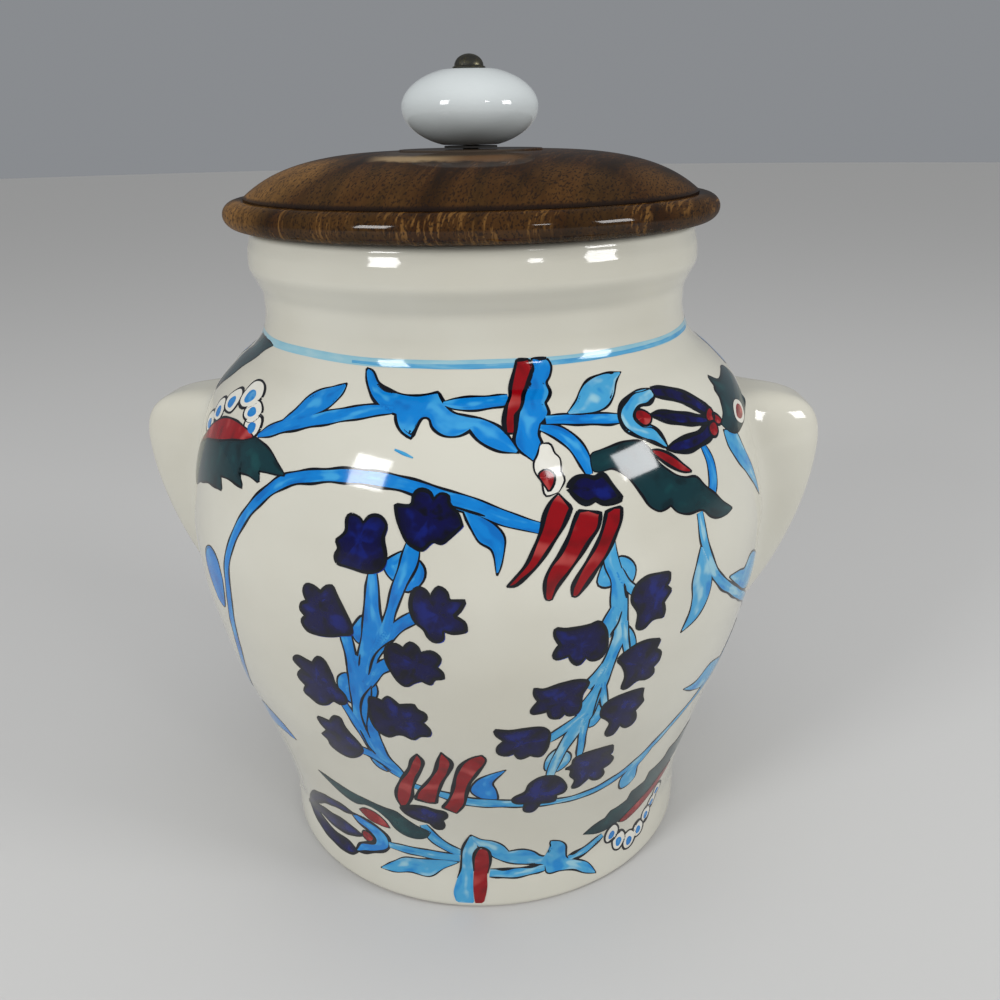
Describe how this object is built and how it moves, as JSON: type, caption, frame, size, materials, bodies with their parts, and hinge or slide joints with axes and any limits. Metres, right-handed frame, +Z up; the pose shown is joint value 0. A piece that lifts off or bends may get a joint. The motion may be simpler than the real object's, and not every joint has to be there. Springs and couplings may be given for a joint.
{
  "type": "ceramic canister",
  "caption": "Glazed ceramic canister with a swelling belly, ear lugs at the sides and a domed wooden lid with a porcelain knob.",
  "frame": {"origin": "centre of the foot, on the surface that the canister stands on", "axes": "+Z up along the axis of the jar and lid, +X towards one lug, +Y towards the back"},
  "size_m": [0.222, 0.1884, 0.2538],
  "materials": {
    "glazed_stoneware": "glossy cream glaze with painted floral ornament in blue, red and dark green",
    "stained_wood": "dark brown stain under satin varnish, worn lighter in places",
    "silicone": "soft translucent white",
    "porcelain": "glossy cool white glaze",
    "fibre": "matt black",
    "antique_brass": "dark olive-brown patina",
    "plain_brass": "dull plated"
  },
  "bodies": {
    "jar": {"jar": "glazed_stoneware"},
    "lid": {"lid": "stained_wood", "lid_gasket": "silicone", "knob": "porcelain", "knob_cushion": "fibre", "knob_bolt": "antique_brass", "lid_washer": "plain_brass", "lid_nut": "plain_brass"}
  },
  "joints": [
    {"name": "lid_lift", "type": "slide", "parent": "jar", "child": "lid", "axis": [0, 0, 1], "range_m": [0, 0.12]}
  ]
}
